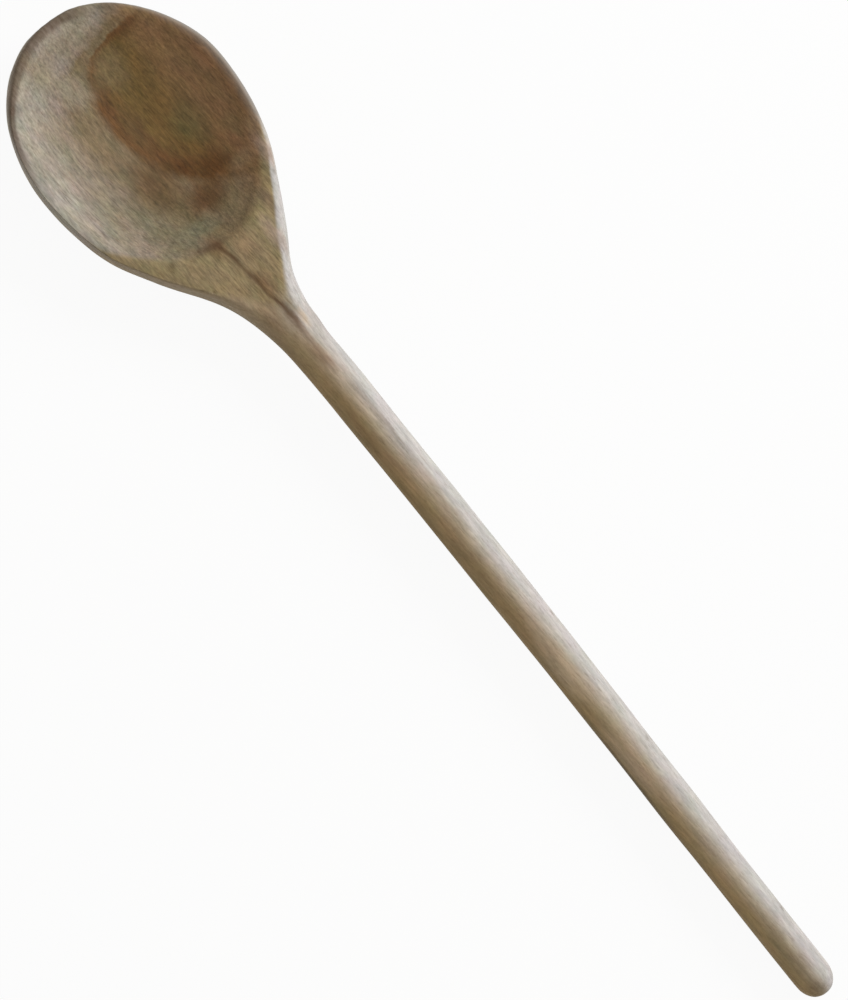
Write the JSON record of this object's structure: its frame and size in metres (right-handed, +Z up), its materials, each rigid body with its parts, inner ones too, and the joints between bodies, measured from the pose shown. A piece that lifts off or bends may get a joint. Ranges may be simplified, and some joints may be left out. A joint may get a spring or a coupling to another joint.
{
  "type": "wooden spoon",
  "caption": "Wooden cooking spoon with an oval hollowed bowl, a flat-topped neck that narrows to the throat, and a slim round handle with a domed end.",
  "frame": {"origin": "on the table, under the middle of the spoon's length and width", "axes": "+X along the spoon from the bowl's tip to the handle's end, +Z up out of the open bowl"},
  "size_m": [0.3, 0.0566, 0.0145],
  "materials": {
    "beech": "bare, worn and matt"
  },
  "bodies": {
    "root": {"head": "beech", "handle": "beech"}
  },
  "joints": []
}
